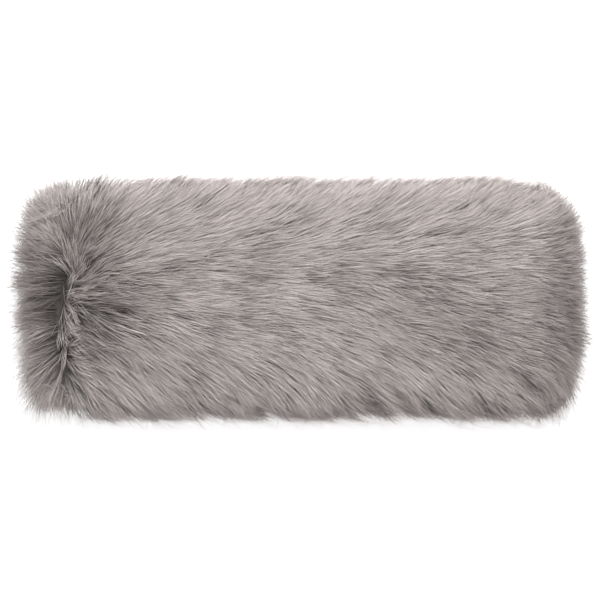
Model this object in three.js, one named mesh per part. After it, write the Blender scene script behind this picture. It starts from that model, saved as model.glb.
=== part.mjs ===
// Head wrap: a wide headband of long-pile faux fur, lying flat on a table.
//
// Two equal panels of fur fabric, a front and a back, are sewn end to end into one loop. Each
// panel is a knitted ground cloth with a deep pile standing on its outer face and flaring past
// both rims. The head goes through the loop, between the two cloths. One seam lies on the
// front, just inside the left fold, where the pile parts and leaves a valley; the other is
// under the right fold. The pile of the back panel is pressed flat by the table.
//
// Millimetres. +X runs along the flattened loop, +Y across the band, and +Z up from the table,
// with the origin on the table under the middle of the band.

import * as THREE from "three";

// The loop of cloth, measured on its inner face.
const LOOP_LENGTH = 243; // from fold to fold
const CLOTH_WIDTH = 94; // from rim to rim
const CLOTH_THICK = 2;
const MIDDLE_GAP = 7; // between the two cloths, half way along
const FOLD_GAP = 13; // where the cloth springs open beside each fold

// The pile, measured from the inner face of its cloth.
const FRONT_DEPTH = 19;
const BACK_DEPTH = 18; // before the table presses it
const BACK_PRESSED = 15;
const RIM_DEPTH = 4; // where the pile stands out furthest past the rim
const RIM_LAP = 2; // how far past the rim it still reaches, level with the inner face
const CROWN = 2.6; // exponent of the section: 2 is an ellipse, more is squarer

// The seam near the left fold.
const SEAM_FROM_FOLD = 9.7; // along the cloth, from the middle of the fold
const PARTING_DEPTH = 7;
const PARTING_REACH = 7;
const PARTING_MIDDLE = -9; // it fades towards both rims from here
const PARTING_HALF = 27;

const CLEARANCE = 0.3; // between pieces that touch

const FOLD_RADIUS = FOLD_GAP / 2;
const STRAIGHT = LOOP_LENGTH - FOLD_GAP;
const FOLD_ARC = Math.PI * FOLD_RADIUS;
const HALF_LOOP = STRAIGHT + FOLD_ARC; // one panel's length of cloth
const LOOP_HEIGHT = BACK_PRESSED + MIDDLE_GAP / 2; // from the table to the loop's middle plane

// How far the pile reaches from the centre line to its upper (+Y) and lower (-Y) outline,
// on the front panel and on the back panel, along the band.
const FRONT_OUTLINE = [
  { x: -125, upper: 50, lower: 51 },
  { x: -102, upper: 58, lower: 58 },
  { x: 98, upper: 58, lower: 58 },
  { x: 112, upper: 55, lower: 57 },
  { x: 125, upper: 50, lower: 53 },
];
const BACK_OUTLINE = [
  { x: -125, upper: 50, lower: 51 },
  { x: -102, upper: 57, lower: 57 },
  { x: 98, upper: 59, lower: 56 },
  { x: 116, upper: 58, lower: 56 },
  { x: 125, upper: 50, lower: 53 },
];

// Hollows in the front panel's pile: where each one's middle is, how far it reaches along its
// own length and across it, how far that length is turned from +X, and how deep it is.
const HOLLOWS = [
  { name: "bunch beside the seam", x: -104, y: -16, long: 19, wide: 5, turn: -72, deep: 5 },
  { name: "pit above the bunch", x: -107, y: 11, long: 8, wide: 5, turn: 20, deep: 5 },
  { name: "dip round the bunch", x: -96, y: -6, long: 20, wide: 22, turn: 0, deep: 1 },
  { name: "sag right of the middle", x: 54, y: 2, long: 36, wide: 11, turn: -14, deep: 2.2 },
  { name: "sag left of the middle", x: -62, y: 4, long: 32, wide: 9, turn: 4, deep: 1.6 },
  { name: "parting at the lower left", x: -62, y: -46, long: 18, wide: 4, turn: -38, deep: 4 },
  { name: "parting at the lower middle", x: -22, y: -49, long: 15, wide: 4, turn: -35, deep: 4 },
  { name: "parting at the lower right", x: 38, y: -50, long: 13, wide: 5, turn: -42, deep: 4.5 },
  { name: "small parting beside it", x: 66, y: -50, long: 13, wide: 4, turn: -40, deep: 3.5 },
  { name: "sag near the right fold", x: 110, y: -34, long: 22, wide: 8, turn: -35, deep: 3 },
  { name: "nick in the right fold", x: 133, y: 4, long: 17, wide: 7, turn: 80, deep: 3 },
];

const smooth = (t) => THREE.MathUtils.smoothstep(t, 0, 1);

// The value of one column of a table at x, eased from row to row.
function column(rows, name, x) {
  const after = rows.findIndex((row) => row.x > x);
  if (after === 0) return rows[0][name];
  if (after < 0) return rows.at(-1)[name];
  const [a, b] = [rows[after - 1], rows[after]];
  return THREE.MathUtils.lerp(a[name], b[name], smooth((x - a.x) / (b.x - a.x)));
}

// A place on the inner face of the loop, as a section plane: its x and z, and the way out
// through the cloth. `along` is measured on the cloth from the middle of the left fold, over
// the front to the right fold and back underneath.
function loopAt(along) {
  const total = 2 * HALF_LOOP;
  const wrapped = ((along % total) + total) % total;
  const under = wrapped > HALF_LOOP; // the lower half is the upper one turned over
  const s = under ? wrapped - HALF_LOOP : wrapped;
  const turned = under ? -1 : 1;
  const quarter = FOLD_ARC / 2;
  if (s < quarter || s > HALF_LOOP - quarter) {
    const end = s < quarter ? -1 : 1;
    const angle = (s < quarter ? quarter - s : s - HALF_LOOP + quarter) / FOLD_RADIUS;
    const out = new THREE.Vector2(end * Math.sin(angle), Math.cos(angle));
    const x = (end * STRAIGHT) / 2 + FOLD_RADIUS * out.x;
    return { x: turned * x, z: turned * FOLD_RADIUS * out.y, out: out.multiplyScalar(turned) };
  }
  const x = s - quarter - STRAIGHT / 2;
  const phase = (2 * Math.PI * x) / STRAIGHT;
  const rise = (FOLD_GAP - MIDDLE_GAP) / 4;
  const z = MIDDLE_GAP / 2 + rise * (1 - Math.cos(phase));
  const slope = (rise * 2 * Math.PI * Math.sin(phase)) / STRAIGHT;
  const out = new THREE.Vector2(-slope, 1).normalize();
  return { x: turned * x, z: turned * z, out: out.multiplyScalar(turned) };
}

// A point of a section: y across the band and n out from the inner face of the cloth.
function pointAt(station, y, n) {
  return new THREE.Vector3(
    station.x + n * station.out.x,
    y,
    Math.max(0, LOOP_HEIGHT + station.z + n * station.out.y),
  );
}

// A solid lofted through sections that all have the same number of corners, capped at both
// ends. `sectionAt(along)` gives a section's corners as Vector2(y, n), in a ring.
function loft(alongs, sectionAt) {
  const positions = [];
  const sections = alongs.map(sectionAt);
  const rings = alongs.map((along, i) => {
    const station = loopAt(along);
    return sections[i].map((corner) => pointAt(station, corner.x, corner.y));
  });
  const add = (a, b, c) => positions.push(...a.toArray(), ...b.toArray(), ...c.toArray());
  for (let i = 0; i + 1 < rings.length; i++) {
    const [near, far] = [rings[i], rings[i + 1]];
    for (let j = 0; j < near.length; j++) {
      const k = (j + 1) % near.length;
      add(near[j], near[k], far[j]);
      add(near[k], far[k], far[j]);
    }
  }
  for (const [a, b, c] of THREE.ShapeUtils.triangulateShape(sections[0], [])) {
    add(rings[0][a], rings[0][c], rings[0][b]);
  }
  for (const [a, b, c] of THREE.ShapeUtils.triangulateShape(sections.at(-1), [])) {
    add(rings.at(-1)[a], rings.at(-1)[b], rings.at(-1)[c]);
  }
  const geometry = new THREE.BufferGeometry();
  geometry.setAttribute("position", new THREE.Float32BufferAttribute(positions, 3));
  geometry.computeVertexNormals();
  return geometry;
}

// Places along the loop, from each leg's start to the next, in even steps.
function spaced(legs) {
  const found = [legs[0].from];
  for (const { from, to, steps } of legs) {
    for (let i = 1; i <= steps; i++) found.push(THREE.MathUtils.lerp(from, to, i / steps));
  }
  return found;
}

// The ground cloth: a plain strip with square rims.
function clothSection() {
  const [half, thick] = [CLOTH_WIDTH / 2, CLOTH_THICK];
  return [
    new THREE.Vector2(-half, 0),
    new THREE.Vector2(half, 0),
    new THREE.Vector2(half, thick),
    new THREE.Vector2(-half, thick),
  ];
}

// How deep the hollows are at a place on the front.
function hollowAt(x, y) {
  return HOLLOWS.reduce((sum, h) => {
    const offset = new THREE.Vector2(x - h.x, y - h.y);
    offset.rotateAround(new THREE.Vector2(), -THREE.MathUtils.degToRad(h.turn));
    return sum + h.deep * Math.exp(-((offset.x / h.long) ** 2) - (offset.y / h.wide) ** 2);
  }, 0);
}

// The pile's section: up round one rim, over the crown, down round the other, and back
// along the outside of the cloth.
function furSection(along, depth, outline, isFront) {
  const CROWN_STEPS = 20;
  const TUCK_STEPS = 3;
  const station = loopAt(along);
  const x = station.x + RIM_DEPTH * station.out.x;
  const upper = column(outline, "upper", x);
  const lower = column(outline, "lower", x);
  const fromSeam = (along - SEAM_FROM_FOLD) / PARTING_REACH;
  const shape = (value) => Math.sign(value) * Math.abs(value) ** (2 / CROWN);
  const lap = CLOTH_WIDTH / 2 + RIM_LAP;
  const corners = [];
  for (let i = 0; i < TUCK_STEPS; i++) {
    const angle = (Math.PI / 2) * (i / TUCK_STEPS);
    const y = lap + (lower - lap) * Math.sin(angle);
    corners.push(new THREE.Vector2(-y, RIM_DEPTH * (1 - Math.cos(angle))));
  }
  for (let i = 0; i <= CROWN_STEPS; i++) {
    const angle = Math.PI * (1 - i / CROWN_STEPS);
    const y = shape(Math.cos(angle)) * (i < CROWN_STEPS / 2 ? lower : upper);
    const height = shape(Math.sin(angle));
    const fade = ((y - PARTING_MIDDLE) / PARTING_HALF) ** 4;
    const parting = PARTING_DEPTH * Math.exp(-(fromSeam ** 2) - fade);
    const sunk = parting + (isFront ? hollowAt(station.x + depth * station.out.x, y) : 0);
    const crown = (depth - RIM_DEPTH - sunk * height) * height;
    corners.push(new THREE.Vector2(y, RIM_DEPTH + crown));
  }
  for (let i = TUCK_STEPS - 1; i >= 0; i--) {
    const angle = (Math.PI / 2) * (i / TUCK_STEPS);
    const y = lap + (upper - lap) * Math.sin(angle);
    corners.push(new THREE.Vector2(y, RIM_DEPTH * (1 - Math.cos(angle))));
  }
  const half = CLOTH_WIDTH / 2 + CLEARANCE;
  const top = CLOTH_THICK + CLEARANCE;
  corners.push(new THREE.Vector2(half, 0), new THREE.Vector2(half, top));
  corners.push(new THREE.Vector2(-half, top), new THREE.Vector2(-half, 0));
  return corners.reverse();
}

function mesh(name, geometry, colour, roughness) {
  const material = new THREE.MeshStandardMaterial({ color: colour, roughness, metalness: 0 });
  const made = new THREE.Mesh(geometry, material);
  made.name = name;
  return made;
}

// The front panel runs from the seam over the top and round the right fold.
const frontStart = SEAM_FROM_FOLD + CLEARANCE / 2;
const frontEnd = SEAM_FROM_FOLD + HALF_LOOP - CLEARANCE / 2;
const rightFold = HALF_LOOP - FOLD_ARC / 2;
const FRONT_LEGS = [
  { from: frontStart, to: frontStart + 24, steps: 11 },
  { from: frontStart + 24, to: rightFold, steps: 42 },
  { from: rightFold, to: frontEnd, steps: 10 },
];

// The back panel runs from the other seam along the underside and round the left fold.
const backStart = frontEnd + CLEARANCE;
const leftFold = 2 * HALF_LOOP - FOLD_ARC / 2;
const backEnd = 2 * HALF_LOOP + SEAM_FROM_FOLD - CLEARANCE / 2;
const BACK_LEGS = [
  { from: backStart, to: leftFold, steps: 26 },
  { from: leftFold, to: backEnd, steps: 10 },
];

const CLOTH_COLOUR = 0x8c8583;
const FUR_COLOUR = 0xa69e9c;

const headWrap = new THREE.Group();
headWrap.add(
  mesh("front_ground_cloth", loft(spaced(FRONT_LEGS), clothSection), CLOTH_COLOUR, 0.95),
  mesh("back_ground_cloth", loft(spaced(BACK_LEGS), clothSection), CLOTH_COLOUR, 0.95),
  mesh(
    "front_fur",
    loft(spaced(FRONT_LEGS), (along) => furSection(along, FRONT_DEPTH, FRONT_OUTLINE, true)),
    FUR_COLOUR,
    0.9,
  ),
  mesh(
    "back_fur",
    loft(spaced(BACK_LEGS), (along) => furSection(along, BACK_DEPTH, BACK_OUTLINE, false)),
    FUR_COLOUR,
    0.9,
  ),
);

export default headWrap;
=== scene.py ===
from types import SimpleNamespace

import bpy
import numpy as np
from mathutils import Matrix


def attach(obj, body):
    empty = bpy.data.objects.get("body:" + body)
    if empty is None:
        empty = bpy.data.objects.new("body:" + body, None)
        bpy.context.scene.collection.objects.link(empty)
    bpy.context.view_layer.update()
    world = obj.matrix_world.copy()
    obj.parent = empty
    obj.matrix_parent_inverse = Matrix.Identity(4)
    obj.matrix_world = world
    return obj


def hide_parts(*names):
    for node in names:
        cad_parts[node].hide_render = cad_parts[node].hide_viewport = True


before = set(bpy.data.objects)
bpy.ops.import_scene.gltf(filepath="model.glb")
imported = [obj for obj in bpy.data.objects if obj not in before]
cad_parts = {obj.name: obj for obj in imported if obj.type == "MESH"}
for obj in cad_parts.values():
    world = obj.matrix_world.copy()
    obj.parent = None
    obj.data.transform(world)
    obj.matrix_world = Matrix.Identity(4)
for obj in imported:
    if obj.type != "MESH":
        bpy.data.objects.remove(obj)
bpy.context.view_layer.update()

# ---------------------------------------------------------------------------------------------
# Ground cloth. Two equal strips of warm grey warp knit, sewn end to end into a loop, with the
# pile bound into their outer faces, so that the bare knit shows only inside it. The wrap is
# worked out in millimetres, and its meshes are in metres.

LOOP_LENGTH = 243.0
FOLD_GAP = 13.0
MIDDLE_GAP = 7.0
LOOP_HEIGHT = 18.5
CLOTH_WIDTH = 94.0
CLOTH_THICK = 2.0
CLOTH_END_GAP = 0.15  # half the gap between the two strips at a seam
SEAM_FROM_FOLD = 9.7  # along the inner face, from the middle of the left fold
MAP_SHIFT = 200.0  # how far beside the inner face the outer one lies on the cloth's map
FOLD_RADIUS = FOLD_GAP / 2
STRAIGHT = LOOP_LENGTH - FOLD_GAP
MM = 0.001
KNIT_COLOUR = (0.235, 0.212, 0.205, 1)
KNIT_SHADOW = (0.12, 0.106, 0.10, 1)


def loop_place(run, reach):
    """Points of the loop's inner face and its outward directions, in the XZ plane.

    `run` is measured `reach` outside that face, from the middle of the left fold, over the top
    to the right fold and back underneath. The loop is two half circles joined by two runs
    whose height follows one period of a cosine, so that it is narrowest half way along."""
    radius = FOLD_RADIUS + reach
    quarter = np.pi * radius / 2
    half = STRAIGHT + 2 * quarter
    run = np.mod(run, 2 * half)
    side = np.where(run > half, -1.0, 1.0)
    s = np.where(run > half, run - half, run)
    x_run = np.clip(s - quarter, 0, STRAIGHT) - STRAIGHT / 2
    phase = 2 * np.pi * x_run / STRAIGHT
    rise = (FOLD_GAP - MIDDLE_GAP) / 4
    slope = rise * 2 * np.pi * np.sin(phase) / STRAIGHT
    turn = np.clip(s - quarter - STRAIGHT, 0, None) + np.clip(s - quarter, None, 0)
    angle = turn / radius
    out_x = np.where(turn == 0, -slope, np.sin(angle))
    out_z = np.where(turn == 0, 1.0, np.cos(angle))
    size = np.hypot(out_x, out_z)
    x = np.where(turn == 0, x_run, x_run + FOLD_RADIUS * out_x)
    z_run = MIDDLE_GAP / 2 + rise * (1 - np.cos(phase))
    z = np.where(turn == 0, z_run, FOLD_RADIUS * out_z)
    return side * x, LOOP_HEIGHT + side * z, side * out_x / size, side * out_z / size


def seam_run(reach):
    """Where the front seam lies, as a run measured `reach` outside the inner face."""
    return SEAM_FROM_FOLD / FOLD_RADIUS * (FOLD_RADIUS + reach)


def half_run(reach):
    """The run of half the loop, which is the length of one panel."""
    return STRAIGHT + np.pi * (FOLD_RADIUS + reach)


def place_piece(name, mesh, material):
    """An object of a mesh, in its material, riding on the wrap's one body."""
    mesh.materials.append(material)
    piece = bpy.data.objects.new(name, mesh)
    bpy.context.collection.objects.link(piece)
    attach(piece, "root")
    return piece


def make_piece(name, points, faces, material):
    """A smooth piece from points in millimetres and an array of quads."""
    mesh = bpy.data.meshes.new(name)
    mesh.from_pydata((points * MM).tolist(), [], faces.tolist())
    mesh.polygons.foreach_set("use_smooth", np.ones(len(mesh.polygons), dtype=bool))
    return place_piece(name, mesh, material)


def ring_faces(rings, corners):
    """Quads between rings of corners that follow one another, and rungs of quads that close the
    first ring and the last."""
    i, j = np.meshgrid(np.arange(rings - 1), np.arange(corners), indexing="ij")
    k = (j + 1) % corners
    ring, after = i * corners, (i + 1) * corners
    sides = np.stack([ring + j, ring + k, after + k, after + j], -1)
    m = np.arange(corners // 2 - 1)
    cap = np.stack([m, (corners - 1 - m) % corners, (corners - 2 - m) % corners, m + 1], -1)
    return np.vstack([sides.reshape(-1, 4), cap, (cap + (rings - 1) * corners)[:, ::-1]])


def node(tree, kind, **values):
    """A shader node with its settings, and its inputs by name or number."""
    made = tree.nodes.new(kind)
    for name, value in values.pop("inputs", {}).items():
        made.inputs[name].default_value = value
    for name, value in values.items():
        setattr(made, name, value)
    return made


def new_material(name, roughness, specular, sheen):
    """A new material, its node tree and its shader."""
    material = bpy.data.materials.new(name)
    material.use_nodes = True
    shader = material.node_tree.nodes["Principled BSDF"]
    shader.inputs["Roughness"].default_value = roughness
    shader.inputs["Specular IOR Level"].default_value = specular
    shader.inputs["Sheen Weight"].default_value = sheen
    return material, material.node_tree, shader


def knit_material():
    """Rows of knit loops, one wale every 1.6 mm and one course every 1.3 mm, on the cloth's own
    map, which counts millimetres along and across the strip."""
    material, tree, shader = new_material("warp knit", 0.9, 0.2, 0.25)
    cloth_map = node(tree, "ShaderNodeUVMap", uv_map="cloth")
    wales = node(tree, "ShaderNodeTexWave", bands_direction="Y")
    wales.inputs["Scale"].default_value = 0.20
    wales.inputs["Distortion"].default_value = 0.6
    courses = node(tree, "ShaderNodeTexWave", bands_direction="X")
    courses.inputs["Scale"].default_value = 0.24
    courses.inputs["Distortion"].default_value = 1.0
    speck = node(tree, "ShaderNodeTexNoise", inputs={"Scale": 0.5, "Detail": 5.0})
    loops = node(tree, "ShaderNodeMath", operation="MULTIPLY")
    mixed = node(tree, "ShaderNodeMath", operation="MULTIPLY_ADD", inputs={1: 0.7})
    colour = node(tree, "ShaderNodeValToRGB")
    colour.color_ramp.elements[0].color = KNIT_SHADOW
    colour.color_ramp.elements[1].color = KNIT_COLOUR
    colour.color_ramp.elements[1].position = 0.6
    bump = node(tree, "ShaderNodeBump", inputs={"Strength": 0.7, "Distance": 0.0004})
    link = tree.links.new
    for texture in (wales, courses, speck):
        link(cloth_map.outputs["UV"], texture.inputs["Vector"])
    link(wales.outputs["Fac"], loops.inputs[0])
    link(courses.outputs["Fac"], loops.inputs[1])
    link(loops.outputs[0], mixed.inputs[0])
    link(speck.outputs["Fac"], mixed.inputs[2])
    link(mixed.outputs[0], colour.inputs["Fac"])
    link(colour.outputs["Color"], shader.inputs["Base Color"])
    link(loops.outputs[0], bump.inputs["Height"])
    link(bump.outputs["Normal"], shader.inputs["Normal"])
    return material


def cloth_strip(name, start, end, material):
    """A strip with half-round rims: a ring of corners (y, n) at each place along the loop, where
    y goes across the strip and n outwards from its inner face. Sines along and across it make
    it wave by a fraction of a millimetre."""
    rings = 100
    flat = 24
    rim = 5
    half_thick = CLOTH_THICK / 2
    turn = np.linspace(-np.pi / 2, np.pi / 2, rim)
    y_edge = CLOTH_WIDTH / 2 - half_thick + half_thick * np.cos(turn)
    n_edge = half_thick * (1 + np.sin(turn))
    y_flat = np.linspace(y_edge[-1], -y_edge[-1], flat)[1:-1]
    y = np.concatenate([y_edge, y_flat, -y_edge[::-1], -y_flat])
    n = np.concatenate([n_edge, np.full(flat - 2, CLOTH_THICK), n_edge[::-1], np.zeros(flat - 2)])
    run = np.linspace(start, end, rings)[:, None]
    x0, z0, out_x, out_z = loop_place(run, 0)
    n = n + 0.12 * np.sin(run / 9 + 1.3 * np.sin(y / 17)) + 0.08 * np.sin(run / 4.1 + y / 6)
    points = np.stack([x0 + n * out_x, np.broadcast_to(y, n.shape), z0 + n * out_z], -1)
    piece = make_piece(name, points.reshape(-1, 3), ring_faces(rings, len(y)), material)
    map_y = y + MAP_SHIFT * (n > half_thick)
    uv = np.stack(np.broadcast_arrays(run, map_y), -1).reshape(-1, 2).astype(np.float32)
    corner = np.empty(len(piece.data.loops), dtype=np.int32)
    piece.data.loops.foreach_get("vertex_index", corner)
    piece.data.uv_layers.new(name="cloth").data.foreach_set("uv", uv[corner].ravel())
    return piece


knit = knit_material()
start = seam_run(0) + CLOTH_END_GAP
end = seam_run(0) + half_run(0) - CLOTH_END_GAP
front_cloth = cloth_strip("front_cloth", start, end, knit)
back_cloth = cloth_strip("back_cloth", start + half_run(0), end + half_run(0), knit)
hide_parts("front_ground_cloth")
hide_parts("back_ground_cloth")

# ---------------------------------------------------------------------------------------------
# Undercoat. Between the roots of the long hairs the pile is short and dense, and darker, in part
# as painted shade deep in the pile. It fills each panel up to a few millimetres below the tips,
# and its lumps carry the tufts above it.

FRONT_DEPTH = 19.0
BACK_DEPTH = 18.0
RIM_DEPTH = 4.0
RIM_LAP = 2.0
CROWN = 2.6  # the power of the crown's superellipse
CROWN_STEPS = 400
TUCK_STEPS = 60
HALF_BAND = 58.0
UNDERCOAT_INSET = 7.0
UNDERCOAT_LAP = 3.0  # how far it goes past the rims of the cloth
UNDERCOAT_END_GAP = 0.5
ABOVE_CLOTH = 0.4
ABOVE_TABLE = 0.8
PARTING_DEPTH = 7.0
PARTING_REACH = 7.0
# The undercoat's two colours are much darker than the hair's, in part as painted shade deep in the
# pile.
ROOT_COLOUR = (0.045, 0.040, 0.038, 1)
DOWN_COLOUR = (0.11, 0.099, 0.094, 1)
SEAM = seam_run(FRONT_DEPTH)  # where the front seam lies, as a run along the crown of the pile
PANEL_RUN = half_run(FRONT_DEPTH)  # one panel's length along the crown

# The pile's outline from above: how far its upper and lower rims are from the middle, at x.
OUTLINE = {
    "front": {
        "x": (-125, -102, 98, 112, 125),
        "upper": (50, 58, 58, 55, 50),
        "lower": (51, 58, 58, 57, 53),
    },
    "back": {
        "x": (-125, -102, 98, 116, 125),
        "upper": (50, 57, 59, 58, 50),
        "lower": (51, 57, 56, 56, 53),
    },
}

# Hollows in the front's pile: middle, reach along and across, turn from +X in degrees, depth,
# how much painted shade darkens the hair there, and by how many degrees it is ruffled.
HOLLOWS = np.array(
    [
        (-106, -14, 8, 3.5, -72, 4.5, 0.58, 12),
        (-103, -27, 9, 4.5, -58, 4.5, 0.54, 10),
        (-110, -7, 5, 3, -60, 3.0, 0.42, 10),
        (-89, -5, 8, 3, -10, 4.0, 0.44, 8),
        (-94, -12, 7, 3, -45, 4.0, 0.46, 10),
        (-70, 14, 9, 3, 14, 2.5, 0.22, 4),
        (-107, 11, 8, 5, 20, 5.0, 0.30, 22),
        (-105, 32, 18, 15, 60, 2.0, 0.56, 8),
        (-101, -4, 17, 20, 0, 1.0, 0.17, 6),
        (54, 2, 36, 11, -14, 2.2, 0.12, 3),
        (90, -17, 42, 19, -14, 1.0, 0.21, 3),
        (-62, 4, 32, 9, 4, 1.6, 0.06, 3),
        (-54, -52, 10, 4, -38, 4.0, 0.30, 6),
        (-20, -58, 8, 4, -50, 4.0, 0.42, 6),
        (36, -54, 9, 5, -40, 4.5, 0.38, 6),
        (50, -50, 10, 3, -50, 4.0, 0.32, 6),
        (64, -55, 8, 3, -42, 3.5, 0.24, 6),
        (89, -51, 8, 3, -50, 3.5, 0.28, 6),
        (115, 58, 5, 3, 20, 0.0, 0.40, 14),
        (112, -40, 14, 4, -38, 3.0, 0.26, 5),
        (128, 2, 32, 11, 86, 1.5, 0.26, 4),
    ],
    dtype=[(name, float) for name in ("x", "y", "long", "wide", "turn", "deep", "dark", "ruffle")],
)


def bell(value, middle, reach):
    """exp(-((value - middle) / reach) ** 2): 1 at `middle`, fading on both sides."""
    return np.exp(-(((value - middle) / reach) ** 2))


def plateau(value, middle, reach):
    """exp(-((value - middle) / reach) ** 4): like bell, with a flat top and steeper sides."""
    return np.exp(-(((value - middle) / reach) ** 4))


def hollows_at(x, y, name):
    """The sum over the hollows of one of their columns, each fading as a turned bell shape."""
    total = np.zeros(np.broadcast(x, y).shape)
    for hollow in HOLLOWS:
        turn = np.radians(hollow["turn"])
        off_x = x - hollow["x"]
        off_y = y - hollow["y"]
        along = off_x * np.cos(turn) + off_y * np.sin(turn)
        across = off_y * np.cos(turn) - off_x * np.sin(turn)
        total += hollow[name] * bell(along, 0, hollow["long"]) * bell(across, 0, hollow["wide"])
    return total


def drift(a, b, size, seed):
    """Smooth wandering between about -1 and 1: the sum of eight plane waves in random
    directions, with wavelengths near `size`."""
    rng = np.random.default_rng(seed)
    heading = rng.uniform(0, 2 * np.pi, 8)
    wave = 2 * np.pi / (size * rng.uniform(0.7, 1.5, 8))
    phase = rng.uniform(0, 2 * np.pi, 8)
    total = np.zeros(np.broadcast(a, b).shape)
    for h, w, p in zip(heading, wave, phase):
        total += np.cos(w * (a * np.cos(h) + b * np.sin(h)) + p)
    return total / 2.8


def section_table():
    """Half a section of the pile, from the middle of the crown over the rim to where it tucks
    in beside the cloth: distance round it, y and n, and its outward normal. The crown is a
    superellipse on RIM_DEPTH, and the tuck a quarter ellipse."""
    t = np.linspace(0, 1, CROWN_STEPS) ** 1.5
    angle = np.pi / 2 * (1 - t)
    crown_y = HALF_BAND * np.cos(angle) ** (2 / CROWN)
    crown_n = RIM_DEPTH + (FRONT_DEPTH - RIM_DEPTH) * np.sin(angle) ** (2 / CROWN)
    lap = CLOTH_WIDTH / 2 + RIM_LAP
    tuck = np.linspace(0, np.pi / 2, TUCK_STEPS)[1:]
    tuck_y = lap + (HALF_BAND - lap) * np.cos(tuck)
    tuck_n = RIM_DEPTH * (1 - np.sin(tuck))
    y = np.append(crown_y, tuck_y)
    n = np.append(crown_n, tuck_n)
    step = np.hypot(np.diff(y), np.diff(n))
    around = np.append(0, np.cumsum(step))
    slope_y = np.gradient(y, around)
    slope_n = np.gradient(n, around)
    return around, y, n, -slope_n, slope_y


AROUND, SECTION_Y, SECTION_N, NORMAL_Y, NORMAL_N = section_table()
RIM_AROUND = np.interp(HALF_BAND - 0.01, SECTION_Y[:CROWN_STEPS], AROUND[:CROWN_STEPS])


def pile_place(panel, run, around, inset):
    """A point of a panel's pile, `inset` below its outer form, and the outward normal there.

    `run` goes along the crown, and `around` round the section from its middle, positive towards
    the upper rim. The section is scaled to the panel's outline, and sunk at the seam and in the
    hollows, most at its middle. A slow drift makes the form lumpy."""
    depth = FRONT_DEPTH if panel == "front" else BACK_DEPTH
    x0, z0, out_x, out_z = loop_place(run, FRONT_DEPTH)
    upper = around > 0
    reach = np.abs(around)
    y = np.interp(reach, AROUND, SECTION_Y)
    n = np.interp(reach, AROUND, SECTION_N)
    normal_y = np.interp(reach, AROUND, NORMAL_Y) * np.where(upper, 1, -1)
    normal_n = np.interp(reach, AROUND, NORMAL_N)
    table = OUTLINE[panel]
    x_rim = x0 + RIM_DEPTH * out_x
    half_up = np.interp(x_rim, table["x"], table["upper"])
    half_down = np.interp(x_rim, table["x"], table["lower"])
    y = np.where(upper, y * half_up, -y * half_down) / HALF_BAND
    height = np.clip((n - RIM_DEPTH) / (FRONT_DEPTH - RIM_DEPTH), 0, 1)
    past_seam = np.mod(run - SEAM, 2 * PANEL_RUN)
    from_seam = np.minimum(past_seam, 2 * PANEL_RUN - past_seam)
    sunk = PARTING_DEPTH * bell(from_seam, 0, PARTING_REACH) * plateau(y, -9, 27)
    if panel == "front":
        sunk = sunk + hollows_at(x0 + depth * out_x, y, "deep")
    lumps = 0.8 * drift(run, around, 34, 3) + 0.5 * drift(run, around, 15, 4)
    n = np.minimum(n, RIM_DEPTH) + height * (depth - RIM_DEPTH - sunk * height + lumps)
    n = n - inset * normal_n
    y = y - inset * normal_y
    point = np.stack(np.broadcast_arrays(x0 + n * out_x, y, z0 + n * out_z), -1)
    normal = np.stack(np.broadcast_arrays(normal_n * out_x, normal_y, normal_n * out_z), -1)
    return point, normal


def undercoat_material():
    """Darkened down, in part painted shade deep in the pile: its colour wanders between root and tip
    shades, with fine short streaks.
    """
    material, tree, shader = new_material("undercoat", 0.95, 0.1, 0.2)
    place = node(tree, "ShaderNodeTexCoord")
    lie = node(tree, "ShaderNodeMapping", inputs={"Scale": (400, 1600, 1600)})
    streaks = node(tree, "ShaderNodeTexNoise", inputs={"Scale": 1.0, "Detail": 4.0})
    tufts = node(tree, "ShaderNodeTexNoise", inputs={"Scale": 140.0, "Detail": 3.0})
    both = node(tree, "ShaderNodeMath", operation="MULTIPLY")
    colour = node(tree, "ShaderNodeValToRGB")
    colour.color_ramp.elements[0].color = ROOT_COLOUR
    colour.color_ramp.elements[1].color = DOWN_COLOUR
    colour.color_ramp.elements[0].position = 0.12
    colour.color_ramp.elements[1].position = 0.42
    bump = node(tree, "ShaderNodeBump", inputs={"Strength": 1.0, "Distance": 0.002})
    link = tree.links.new
    link(place.outputs["Object"], lie.inputs["Vector"])
    link(lie.outputs["Vector"], streaks.inputs["Vector"])
    link(place.outputs["Object"], tufts.inputs["Vector"])
    link(streaks.outputs["Fac"], both.inputs[0])
    link(tufts.outputs["Fac"], both.inputs[1])
    link(both.outputs[0], colour.inputs["Fac"])
    link(colour.outputs["Color"], shader.inputs["Base Color"])
    link(both.outputs[0], bump.inputs["Height"])
    link(bump.outputs["Normal"], shader.inputs["Normal"])
    return material


def undercoat(name, panel, start, end, material):
    """A D-shaped body: the pile's section drawn in by UNDERCOAT_INSET and a fine drift, closed
    along the outside of the cloth, and held clear of the table."""
    rings = 150
    across = 53
    run = np.linspace(start, end, rings)[:, None]
    around = np.broadcast_to(np.linspace(-RIM_AROUND, RIM_AROUND, across), (rings, across))
    lumps = 0.7 * drift(run, around, 5, 7) + 0.5 * drift(run, around, 2.5, 8)
    top, _ = pile_place(panel, run, around, UNDERCOAT_INSET + lumps)
    x0, z0, out_x, out_z = loop_place(run, FRONT_DEPTH)
    flat_edge = CLOTH_WIDTH / 2 + UNDERCOAT_LAP
    flat_y = np.linspace(flat_edge, -flat_edge, across)
    level = CLOTH_THICK + ABOVE_CLOTH
    flat = np.broadcast_arrays(x0 + level * out_x, flat_y, z0 + level * out_z)
    points = np.concatenate([top, np.stack(flat, -1)], 1)
    points[..., 2] = np.maximum(points[..., 2], ABOVE_TABLE)
    piece = make_piece(name, points.reshape(-1, 3), ring_faces(rings, 2 * across)[:, ::-1], material)
    return piece


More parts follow.
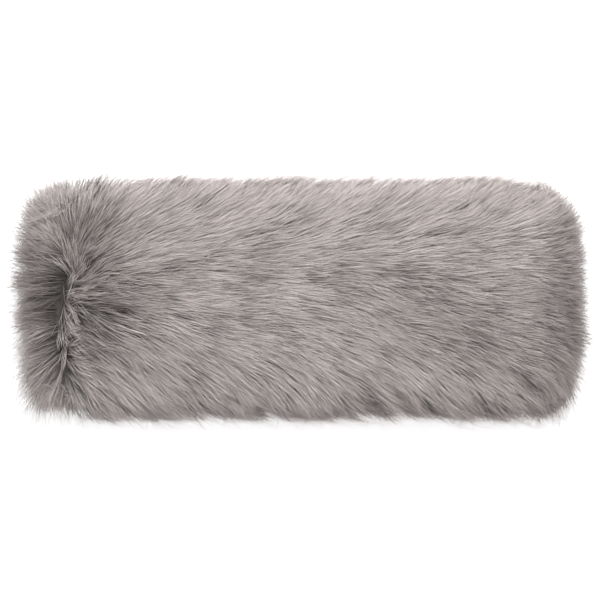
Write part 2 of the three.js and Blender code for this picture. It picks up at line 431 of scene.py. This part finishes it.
down = undercoat_material()
hidden_seam = SEAM + PANEL_RUN
start = SEAM + UNDERCOAT_END_GAP
end = hidden_seam - UNDERCOAT_END_GAP
front_undercoat = undercoat("front_undercoat", "front", start, end, down)
back_undercoat = undercoat("back_undercoat", "back", start + PANEL_RUN, end + PANEL_RUN, down)
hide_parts("front_fur")
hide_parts("back_fur")

# ---------------------------------------------------------------------------------------------
# Long pile. Fine tapering hairs gather into wisps and wisps into locks, which lie over one
# another along the comb of the fur: away from the front seam, and fanning towards both rims.
# Each hair is a narrow blade. Below, `w` holds the wisps of one stretch and `h` its hairs.

HAIR_LENGTH = 26.0
HAIR_WIDTH = 0.34
HAIR_STEPS = np.array([0.0, 0.38, 0.72, 1.0])
HAIR_TAPER = np.array([0.8, 1.0, 0.68])
ROOT_INSET = UNDERCOAT_INSET + 0.8
TIP_INSET = 1.1
WISP_SPACING = 1.8
WISP_JITTER = 1.1
HAIRS_PER_WISP = 10
WISPS_PER_LOCK = 9
SEAM_OVERLAP = 3.0
SHOWN_WAY = 0.75  # how far up a wisp the part is that shows most

# Past HALF_LENGTH and HALF_BAND from the wrap's middle, and past TOP_HEIGHT over the table, loose
# hairs are eased in, so that they reach less than FREE_SPREAD further.
HALF_LENGTH = 142.0
TOP_HEIGHT = 44.0
FREE_SPREAD = 9.0

# The hair's colour darkens from tip to root; the low root and middle colours are in part painted
# shade deep in the pile.
HAIR_ROOT_COLOUR = (0.12, 0.108, 0.102, 1)
HAIR_MIDDLE_COLOUR = (0.46, 0.413, 0.40, 1)
HAIR_TIP_COLOUR = (0.92, 0.835, 0.815, 1)
SHADED_COLOUR = (0.36, 0.35, 0.345, 1)  # what the colour of the darkest hairs is multiplied by

# The lie of the pile as seen from above: its angle in degrees from straight away from the
# seam, towards the upper rim, at heights across the band; first right beside the seam, then
# well away from it.
LIE = {
    "front": {
        "y": (-56, -45, -35, -25, -15, -6, 5, 12, 25, 35, 45, 56),
        "beside": (-80, -58, -44, -32, -28, -28, 126, 134, 130, 124, 116, 106),
        "away": (-50, -50, -42, -28, -18, -11, -4, 1, 14, 29, 48, 70),
    },
    "back": {
        "y": (-56, -45, -35, -25, -15, -6, 5, 12, 25, 35, 45, 56),
        "beside": (-84, -64, -52, -36, -20, -14, 10, 18, 28, 44, 66, 88),
        "away": (-70, -54, -46, -30, -18, -14, -2, 4, 14, 28, 42, 56),
    },
}


def ramp(value, start, width):
    """0 up to `start`, then rising evenly to 1 over `width`."""
    return np.clip((value - start) / width, 0, 1)


def unit(vectors):
    """The same vectors, made one long."""
    return vectors / (np.linalg.norm(vectors, axis=-1, keepdims=True) + 1e-9)


def held(around):
    """Keeps a place round the section on the section."""
    return np.clip(around, -AROUND[-1], AROUND[-1])


def comb_angle(panel, from_seam, y):
    """The lie of the pile at one place: the two rows of its panel, read at y. The first fades
    into the second by exp(-from_seam / fade), most slowly where y is high. On the front, one
    patch by the seam and one past the middle turn towards the lower rim, and one between them
    turns a little towards the upper."""
    lie = LIE[panel]
    beside = np.interp(y, lie["y"], lie["beside"])
    away = np.interp(y, lie["y"], lie["away"])
    if panel == "front":
        away = away - 19 * bell(from_seam, 152, 26) * bell(y, 9, 15)
        away = away + 8 * bell(from_seam, 68, 30) * bell(y, -8, 12)
        away = away - 20 * bell(from_seam, 18, 22) * bell(y, -16, 13)
    fade = 6 - 2 * ramp(y, 0, 10) + 5 * ramp(y, 20, 18)
    near = np.exp(-from_seam / fade)
    return near * beside + (1 - near) * away


def seam_wander(y):
    """How far the parting at the seam strays along the band: to the left below the middle, and
    to the right above it, with a short slant between."""
    return 3.2 * np.tanh((y - 6) / 3.5) * plateau(y, 4, 34) + 0.8 * np.sin(y / 6)


def gather_locks(along, across, angle, rng):
    """Joins wisps into locks: each goes with the lock whose middle it lies nearest to, where
    distance along the lie counts a third. Gives the lock of each wisp, and how far beside the
    lock's middle line it stands."""
    middle = rng.choice(along.size, along.size // WISPS_PER_LOCK, replace=False)
    lie = np.radians(angle[middle])
    off_along = along[:, None] - along[middle]
    off_across = across[:, None] - across[middle]
    ahead = off_along * np.cos(lie) + off_across * np.sin(lie)
    beside = off_across * np.cos(lie) - off_along * np.sin(lie)
    lock = np.argmin((ahead / 3) ** 2 + beside**2, 1)
    return lock, beside[np.arange(along.size), lock]


def wisp_roots(panel, start, end, density, rng):
    """The wisps of one stretch of a panel, on a jittered grid, with the zones they stand in.

    Fewer of them face down. Where the pile is not parted at the seam, they start a little
    beyond it. A zone is 1 in its place and fades to 0 round it: the parted middle of the band,
    its edges and the walls under its rims, the folds, the corners, the low and the upper edge,
    the upper left corner, the upper right where the back's tufts peep out, the curls along the
    parting, and the rough fur next to them."""
    limit = AROUND[-1] - 1.5
    columns = int((end - start) / WISP_SPACING)
    rows = int(2 * limit / WISP_SPACING)
    run, around = np.meshgrid(np.linspace(start, end, columns), np.linspace(-limit, limit, rows))
    run = run.ravel() + rng.uniform(-WISP_JITTER, WISP_JITTER, run.size)
    around = around.ravel() + rng.uniform(-WISP_JITTER, WISP_JITTER, around.size)
    root, out = pile_place(panel, run, around, UNDERCOAT_INSET)
    from_seam = run - SEAM if panel == "front" else SEAM + 2 * PANEL_RUN - run
    parted = plateau(root[:, 1], -10, 26)
    cover = np.where(out[:, 2] > 0.15, 1.0, 0.45)
    keep = (rng.random(run.size) < density * cover) & (run > start) & (run < end)
    keep &= from_seam > -SEAM_OVERLAP * (1 - parted)

    w = SimpleNamespace(onward=1 if panel == "front" else -1, count=keep.sum())
    w.run = run[keep]
    w.around = around[keep]
    w.x = root[keep, 0]
    w.y = root[keep, 1]
    w.from_seam = np.maximum(from_seam[keep], 0)
    w.parted = parted[keep]
    w.edge = ramp(np.abs(w.around), 34, 18)
    w.wall = ramp(np.abs(w.around), RIM_AROUND - 8, 6)
    w.fold = ramp(np.abs(w.x), 112, 12)
    w.left_fold = w.fold * (w.x < 0)
    w.corner = w.fold * ramp(np.abs(w.y), 32, 14)
    w.low = ramp(-w.around, 26, 22)
    w.upper = w.edge * (w.around > 0) * (1 - w.fold)
    w.upper_left = bell(w.x, -120, 9) * ramp(w.y, 28, 14)
    w.peep = bell(w.x, 106, 12) * ramp(w.y, 36, 12)
    w.curls = w.parted * bell(w.from_seam, 0, 6) * (panel == "front")
    w.rough = w.parted * bell(w.from_seam, 12, 14)
    w.loose = 1 + 0.6 * w.low + 1.1 * w.rough
    return w


def comb_wisps(panel, w, rng):
    """Sets the lie of the wisps, in degrees on the unrolled pile, and their locks. The lie
    follows the comb, wanders, turns in towards its lock's middle line, and is ruffled beside
    the seam. The ruffle of the hollows comes last, since it only bends the wisps."""
    angle = np.radians(comb_angle(panel, w.from_seam, w.y))
    # The comb is given as seen from above, where the round of the rims is foreshortened.
    level = np.clip(np.interp(np.abs(w.around), AROUND, NORMAL_N), 0.22, 1)
    angle = np.degrees(np.arctan2(np.sin(angle), np.cos(angle) * level))
    angle += w.loose * (4 * drift(w.run, w.around, 42, 31) + 3 * drift(w.run, w.around, 13, 32))
    w.lock, beside = gather_locks(w.run * w.onward, w.around, angle, rng)
    # What share of its distance from the lock's middle line a wisp makes up over its length.
    pull = 0.22 + 0.5 * w.low + np.where(w.around > 0, -0.15, 0.25) * w.edge
    pull += 0.2 * w.fold + 0.8 * w.left_fold + 0.4 * w.rough
    angle -= np.degrees(np.arctan(pull * beside / HAIR_LENGTH))
    angle += w.loose * rng.normal(0, 3.5, w.count)[w.lock] + rng.normal(0, 2.4, w.count)
    w.ruffle = 15 * np.exp(-w.from_seam / 9)
    angle += w.ruffle * (0.6 * drift(w.run, w.around, 7, 38) + rng.normal(0, 0.8, w.count))
    angle += w.curls * (rng.uniform(-85, 65, w.count)[w.lock] + rng.uniform(-35, 35, w.count))
    w.angle = angle
    if panel == "front":
        w.ruffle = w.ruffle + hollows_at(w.x, w.y, "ruffle")


def size_wisps(panel, w, rng):
    """Sets how far the wisps bend, how long they are, and how deep their tips lie. They are
    short in the hollows, in the corners and as curls, and vary lock by lock."""
    front = panel == "front"

    # Hollows shorten the wisps that show over them, by their painted shade at SHOWN_WAY of their
    # length.
    lie = np.radians(w.angle)
    shown_run = w.run + w.onward * SHOWN_WAY * HAIR_LENGTH * np.cos(lie)
    shown_around = held(w.around + SHOWN_WAY * HAIR_LENGTH * np.sin(lie))
    shown, _ = pile_place(panel, shown_run, shown_around, 0)
    sunk = hollows_at(shown[:, 0], shown[:, 1], "dark") * (1 - w.curls) if front else 0.0
    short = np.clip(1.3 * sunk, 0, 0.4)

    w.bend = rng.normal(0, 2.0, w.count) + 2 * drift(w.run, w.around, 20, 33)
    w.bend += w.ruffle * rng.normal(0, 0.5, w.count)
    w.bend += w.curls * rng.normal(0, 30, w.count)[w.lock]

    vary = rng.normal(0, 0.10, w.count) + 0.08 * drift(w.run, w.around, 18, 34)
    uneven = 0.06 + 0.12 * w.rough if front else 0.13 + 0.12 * w.left_fold
    w.length = HAIR_LENGTH * (1 + vary) * (1 + uneven * rng.normal(0, 1, w.count)[w.lock])
    w.length *= (1 - 0.58 * w.curls) * (1 - short)
    w.length *= 1 - np.where(w.x > 0, 0.12, 0.3) * w.corner
    w.length *= 1 + 0.15 * w.upper_left
    w.length *= 1 + w.peep * (-0.15 if front else 0.2)

    w.tip = rng.normal(TIP_INSET, 0.65, w.count) + 0.5 * w.upper
    uneven = (0.6 * w.loose + 0.8 * w.low) * (1 - 0.7 * w.upper)
    w.tip += uneven * rng.normal(0, 1, w.count)[w.lock]
    w.tip += 0.5 * w.loose * (1 - 0.5 * w.upper) * drift(w.run, w.around, 9, 35)
    w.tip += w.wall * (1.0 if front else 2.5)
    w.tip += w.peep * (1.8 if front else -5.0)
    w.tip -= 2.0 * w.curls
    # Tips stand out past the folds, more so on the right, and draw in round the corners.
    flare = np.where(w.x > 0, 1.8, -0.8) + rng.exponential(0.8, w.count)
    w.tip -= w.fold * (1 - w.corner) * flare
    w.tip += w.corner * np.where(w.x > 0, np.where(w.y > 0, 0.4, 1.3), 2.5)


def shade_wisps(panel, w, rng):
    """Sets how light the wisps are, on a scale from 0 to 1. They vary lock by lock, most in the
    low and rough zones, drift slowly over the band, and carry painted light and shade towards the
    rims and folds and in the lower left corner."""
    w.shade = 0.62 + 0.02 * rng.normal(0, 1, w.count)
    uneven = 0.025 + 0.05 * w.low + 0.07 * w.rough
    w.shade += uneven * rng.normal(0, 1, w.count)[w.lock]
    w.shade += 0.05 * drift(w.run, w.around, 38, 36) + 0.04 * drift(w.run, w.around, 11, 37)
    # Painted light makes them paler towards the upper rim and in the lower left corner, and painted
    # shade darker by the right fold. They are paler towards the lower rim and below the middle too.
    w.shade += 0.20 * ramp(w.y, 36, 16) + 0.13 * ramp(-w.y, 18, 16)
    w.shade += 0.08 * bell(w.x, -30, 62) * bell(w.y, -36, 16)
    w.shade += 0.25 * ramp(-w.y, 38, 10) * ramp(-w.x, 92, 14)
    w.shade -= 0.11 * ramp(w.x, 96, 16)
    if panel == "back":
        # Painted light makes the back's paler still below the middle, at its upper rim and at the
        # left outline, and painted shade darker in one band between.
        w.shade += 0.20 * ramp(-w.y, 2, 12) + 0.12 * ramp(w.y, 36, 10)
        w.shade += 0.10 * ramp(-w.x, 122, 10)
        w.shade -= 0.10 * bell(w.y, 26, 9)


def hairs_of(panel, w, rng):
    """The hairs of the wisps: where each starts beside its wisp, how far it closes in on it,
    and its own lie, bend, length, tip and shade. Some stray, most of all at the rims."""
    h = SimpleNamespace(wisp=np.repeat(np.arange(w.count), HAIRS_PER_WISP))
    h.count = h.wisp.size
    h.run_off, h.around_off = rng.normal(0, 1.0, (2, h.count))
    h.rim = np.maximum(w.edge, w.fold)[h.wisp]
    h.upper = w.upper[h.wisp]
    h.stray = rng.random(h.count) < 0.10 + 0.14 * h.rim + 0.14 * h.upper
    own_lie = rng.normal(0, 4.0, h.count) + h.stray * rng.normal(0, 18, h.count)
    h.angle = np.radians(w.angle[h.wisp] + own_lie)
    h.bend = np.radians(w.bend[h.wisp] + rng.normal(0, 2.2, h.count))
    h.length = w.length[h.wisp] * rng.uniform(0.76 - 0.26 * h.rim, 1.08 + 0.1 * h.rim, h.count)
    h.length *= 1 + rng.uniform(0, 0.3 + 0.25 * h.rim) * h.stray
    h.tip = w.tip[h.wisp] + rng.normal(0, 0.5, h.count) - 1.0 * h.stray
    h.gather = rng.uniform(0.25, 0.68, h.count) * (1 - 0.6 * h.stray) * (1 - 0.6 * h.upper)
    h.gather *= 1 - 0.5 * h.rim * (1 - 0.8 * w.left_fold[h.wisp])
    spread = 0.205 if panel == "front" else 0.10
    h.shade = w.shade[h.wisp] + 0.75 * spread - rng.exponential(spread, h.count)
    return h


def hair_paths(panel, w, h, rng):
    """Points of the hairs at HAIR_STEPS, and the pile's normals there.

    One path hugs the form and closes in on the wisp; another goes straight on from the root.
    A hair follows a blend of the two, so that it flares off the rims and folds, and strays do
    so most. `past` the wrap's body it is eased in to FREE_SPREAD * tanh(past / FREE_SPREAD)."""
    s = HAIR_STEPS[:, None]
    climb = 1 - (1 - s) ** 1.35
    close = 1 - h.gather * s**1.3
    lie = h.angle + h.bend * (s - 0.3)
    part = np.diff(HAIR_STEPS, prepend=0)[:, None] * h.length
    run = w.run[h.wisp]
    around = w.around[h.wisp]
    run_off = h.run_off + (seam_wander(w.y) * np.exp(-w.from_seam / 14))[h.wisp]
    hug_run = run + np.cumsum(np.cos(lie) * part, 0) * w.onward + run_off * close
    hug_around = held(around + np.cumsum(np.sin(lie) * part, 0) + h.around_off * close)
    hug, normal = pile_place(panel, hug_run, hug_around, ROOT_INSET + (h.tip - ROOT_INSET) * climb)

    root_run = run + run_off
    root_around = around + h.around_off
    first, out = pile_place(panel, root_run, root_around, ROOT_INSET)
    step_run = root_run + np.cos(h.angle) * w.onward
    step_around = held(root_around + np.sin(h.angle))
    ahead, _ = pile_place(panel, step_run, step_around, ROOT_INSET)
    onward = h.length[:, None] * unit(ahead - first)
    rise = (ROOT_INSET - h.tip)[:, None] * out
    straight = first + onward * s[..., None] + rise * climb[..., None]

    # How much of the straight path a wisp takes, and how much more its strays may take where
    # they point off the wrap.
    free = 0.32 + (0.38 - 0.1 * (w.around < 0)) * w.edge - 0.3 * w.wall
    free += 0.12 * w.fold - 0.3 * w.corner + 0.15 * w.upper_left
    leaving = w.edge * (1 - w.wall) * (1 - w.fold) * np.where(w.around > 0, 1.0, 0.2)
    leaving += w.fold * ((w.x > 0) == (panel == "front"))
    free = free[h.wisp] + h.stray * leaving[h.wisp] * rng.uniform(0, 0.6, h.count)
    free = np.clip(free, 0.2, 0.92)[:, None]
    path = hug * (1 - free) + straight * free
    for axis, reach in enumerate((HALF_LENGTH, HALF_BAND, TOP_HEIGHT)):
        past = np.maximum(np.abs(path[..., axis]) - reach, 0)
        eased = FREE_SPREAD * np.tanh(past / FREE_SPREAD)
        path[..., axis] -= np.sign(path[..., axis]) * (past - eased)
    path[..., 2] = np.maximum(path[..., 2], 0.4 + 0.8 * rng.random(h.count))
    return path, normal


def hair_shade(panel, w, h, path):
    """The shade of the hairs at HAIR_STEPS: that of their wisps, with painted shade in the hollows,
    along the parting and across the back's middle, and painted light at the outline."""
    x = path[..., 0]
    y = path[..., 1]
    if panel == "front":
        # Painted shade in the hollows and along the parting.
        dark = hollows_at(x, y, "dark") * (1 - w.curls[h.wisp])
        dark += 0.12 * (w.parted * np.exp(-w.from_seam / 14) * (1 - w.curls))[h.wisp]
    else:
        # Painted shade across the back's middle and along its parting.
        painted_parting_shade = w.parted * (0.26 * np.exp(-w.from_seam / 9) + 0.38 * np.exp(-w.from_seam / 3))
        painted_parting_shade *= 1 - 0.7 * ramp(-w.y, 16, 12)
        dark = 0.15 * plateau(y, 7, 18) + painted_parting_shade[h.wisp]
    # Painted light where the hair at the outline is lit from behind.
    painted_rim_light = 0.16 * ramp(np.abs(y), 51, 8) + 0.12 * ramp(np.abs(x), 134, 8)
    return np.clip(h.shade - dark + painted_rim_light, 0.02, 0.98)


def to_corners(values):
    """Values at the steps of the hairs, given to the corners of the blades: hairs first, then
    two corners to each step and one at the tip."""
    return np.concatenate([np.repeat(values[:-1], 2, axis=0), values[-1:]]).swapaxes(0, 1)


def blade_corners(h, path, normal, rng):
    """The corners of the blades and their normals. A blade is wide across its hair, rolled by
    its own twist, and takes its normal half from its own face and half from the form."""
    tangent = np.gradient(path, axis=0)
    flat = unit(np.cross(tangent, normal))
    lift = unit(np.cross(flat, tangent))
    twist = rng.normal(0, 0.7, h.count)[None, :, None]
    wide = flat * np.cos(twist) + lift * np.sin(twist)
    width = HAIR_WIDTH * rng.uniform(0.65, 1.2, h.count)
    width *= 1 - 0.25 * h.rim - (0.25 + 0.2 * h.upper) * h.stray
    side = wide[:-1] * (HAIR_TAPER[:, None] * width)[..., None] / 2
    pairs = np.stack([path[:-1] - side, path[:-1] + side], 1).reshape(-1, h.count, 3)
    points = np.concatenate([pairs, path[-1:]]).swapaxes(0, 1)
    face = np.cross(tangent, wide)
    face *= np.sign((face * normal).sum(-1, keepdims=True)) + 1e-6
    return points, to_corners(unit(face) * 0.5 + normal * 0.5)


def long_pile(name, panel, start, end, density, seed, material):
    """One piece of hairs, from one run to another: two quads and a triangle to each. The map
    holds the shade of each corner (across), its own tone with painted light and shade, and its way
    from root to tip (up)."""
    rng = np.random.default_rng(seed)
    w = wisp_roots(panel, start, end, density, rng)
    comb_wisps(panel, w, rng)
    size_wisps(panel, w, rng)
    shade_wisps(panel, w, rng)
    h = hairs_of(panel, w, rng)
    path, normal = hair_paths(panel, w, h, rng)
    shade = to_corners(hair_shade(panel, w, h, path))
    way = to_corners(np.broadcast_to(HAIR_STEPS[:, None], path.shape[:2]))
    points, face = blade_corners(h, path, normal, rng)

    pattern = np.array([0, 1, 3, 2, 2, 3, 5, 4, 4, 5, 6])
    face_starts = np.array([0, 4, 8])
    number = np.arange(h.count)[:, None]
    corner = (number * points.shape[1] + pattern).ravel()
    starts = (number * pattern.size + face_starts).ravel()
    mesh = bpy.data.meshes.new(name)
    mesh.vertices.add(points.size // 3)
    mesh.vertices.foreach_set("co", (points * MM).astype(np.float32).ravel())
    mesh.loops.add(corner.size)
    mesh.loops.foreach_set("vertex_index", corner.astype(np.int32))
    mesh.polygons.add(starts.size)
    mesh.polygons.foreach_set("loop_start", starts.astype(np.int32))
    mesh.update(calc_edges=True)
    mesh.polygons.foreach_set("use_smooth", np.ones(starts.size, dtype=bool))
    uv = np.stack([shade.ravel(), way.ravel()], -1)[corner]
    mesh.uv_layers.new(name="OFBake").data.foreach_set("uv", uv.astype(np.float32).ravel())
    mesh.normals_split_custom_set_from_vertices(unit(face.reshape(-1, 3)))
    piece = place_piece(name, mesh, material)
    return piece


def hair_material():
    """Hair that darkens towards the root, in part as painted shade deep in the pile, and is paler
    and silvery towards the tip; lighter or darker by the shade in its map, its own tone with painted
    light and shade."""
    material, tree, shader = new_material("long pile", 0.55, 0.22, 0.0)
    hair_map = node(tree, "ShaderNodeUVMap", uv_map="OFBake")
    parts = node(tree, "ShaderNodeSeparateXYZ")
    length_colour = node(tree, "ShaderNodeValToRGB")
    stops = length_colour.color_ramp.elements
    stops[0].position = 0.15
    stops[0].color = HAIR_ROOT_COLOUR
    stops[1].position = 0.97
    stops[1].color = HAIR_TIP_COLOUR
    stops.new(0.6).color = HAIR_MIDDLE_COLOUR
    shade_colour = node(tree, "ShaderNodeValToRGB")
    shade_colour.color_ramp.elements[0].color = SHADED_COLOUR
    shade_colour.color_ramp.elements[1].color = (1.0, 1.0, 1.0, 1)
    mix = node(tree, "ShaderNodeMix", data_type="RGBA", blend_type="MULTIPLY")
    mix.inputs["Factor"].default_value = 1.0
    link = tree.links.new
    link(hair_map.outputs["UV"], parts.inputs[0])
    link(parts.outputs["Y"], length_colour.inputs["Fac"])
    link(parts.outputs["X"], shade_colour.inputs["Fac"])
    link(length_colour.outputs["Color"], mix.inputs["A"])
    link(shade_colour.outputs["Color"], mix.inputs["B"])
    link(mix.outputs["Result"], shader.inputs["Base Color"])
    return material


hair = hair_material()
quarter = PANEL_RUN / 4
for number in range(4):
    start = SEAM + number * quarter - (SEAM_OVERLAP if number == 0 else 0)
    end = SEAM + (number + 1) * quarter + (SEAM_OVERLAP if number == 3 else 0)
    long_pile(f"front_pile_{number + 1}", "front", start, end, 1.0, 100 + 10 * number, hair)
back_end = hidden_seam + PANEL_RUN
back_split = back_end - 82  # beyond the left fold, where the pile faces the table
long_pile("back_pile_left", "back", back_split, back_end + SEAM_OVERLAP, 1.0, 210, hair)
long_pile("back_pile_under", "back", hidden_seam - SEAM_OVERLAP, back_split, 0.6, 220, hair)

# ---------------------------------------------------------------------------------------------
# A white table whose edges sweep up far away, a large soft light above and beyond the wrap, a
# weaker one over it, and a camera straight above, which takes in VIEW_WIDTH at VIEW_HEIGHT over
# the table. Sizes and places are in metres.

FLAT_REACH = 3.0
SWEPT_REACH = 14.0
SWEPT_HEIGHT = 1.8
VIEW_WIDTH = 0.300
VIEW_HEIGHT = 0.028

table_corners = [(-1, -1), (1, -1), (1, 1), (-1, 1)]
flat_part = [(FLAT_REACH * x, FLAT_REACH * y, 0) for x, y in table_corners]
swept_part = [(SWEPT_REACH * x, SWEPT_REACH * y, SWEPT_HEIGHT) for x, y in table_corners]
table_faces = [(0, 1, 2, 3)]
for i in range(4):
    after = (i + 1) % 4
    table_faces.append((i, i + 4, after + 4, after))
table_mesh = bpy.data.meshes.new("table")
table_mesh.from_pydata(flat_part + swept_part, [], table_faces)
table = bpy.data.objects.new("table", table_mesh)
bpy.context.collection.objects.link(table)
white = bpy.data.materials.new("white table")
white.use_nodes = True
paint = white.node_tree.nodes["Principled BSDF"]
paint.inputs["Base Color"].default_value = (0.92, 0.92, 0.92, 1)
paint.inputs["Roughness"].default_value = 0.9
paint.inputs["Emission Color"].default_value = (1, 1, 1, 1)
paint.inputs["Emission Strength"].default_value = 0.6
table_mesh.materials.append(white)

for name, place, size, power in (
    ("window", (0.03, 0.44, 0.56), 0.45, 5.5),
    ("fill", (0.0, 0.1, 1.4), 0.9, 3),
):
    lamp = bpy.data.lights.new(name, "AREA")
    lamp.shape = "DISK"
    lamp.size = size
    lamp.energy = power
    light = bpy.data.objects.new(name, lamp)
    bpy.context.collection.objects.link(light)
    light.location = place
    aim = -light.location.normalized()
    light.rotation_euler = aim.to_track_quat("-Z", "Y").to_euler()

world = bpy.context.scene.world or bpy.data.worlds.new("room")
bpy.context.scene.world = world
world.use_nodes = True
sky = world.node_tree.nodes["Background"]
sky.inputs["Color"].default_value = (1, 1, 1, 1)
sky.inputs["Strength"].default_value = 0.42

lens = bpy.data.cameras.new("camera")
lens.lens = 85
lens.sensor_width = 36
lens.clip_end = 40
camera = bpy.data.objects.new("camera", lens)
bpy.context.collection.objects.link(camera)
camera.location = (0, 0, VIEW_WIDTH * lens.lens / lens.sensor_width + VIEW_HEIGHT)
bpy.context.scene.camera = camera
bpy.context.scene.view_settings.view_transform = "Standard"
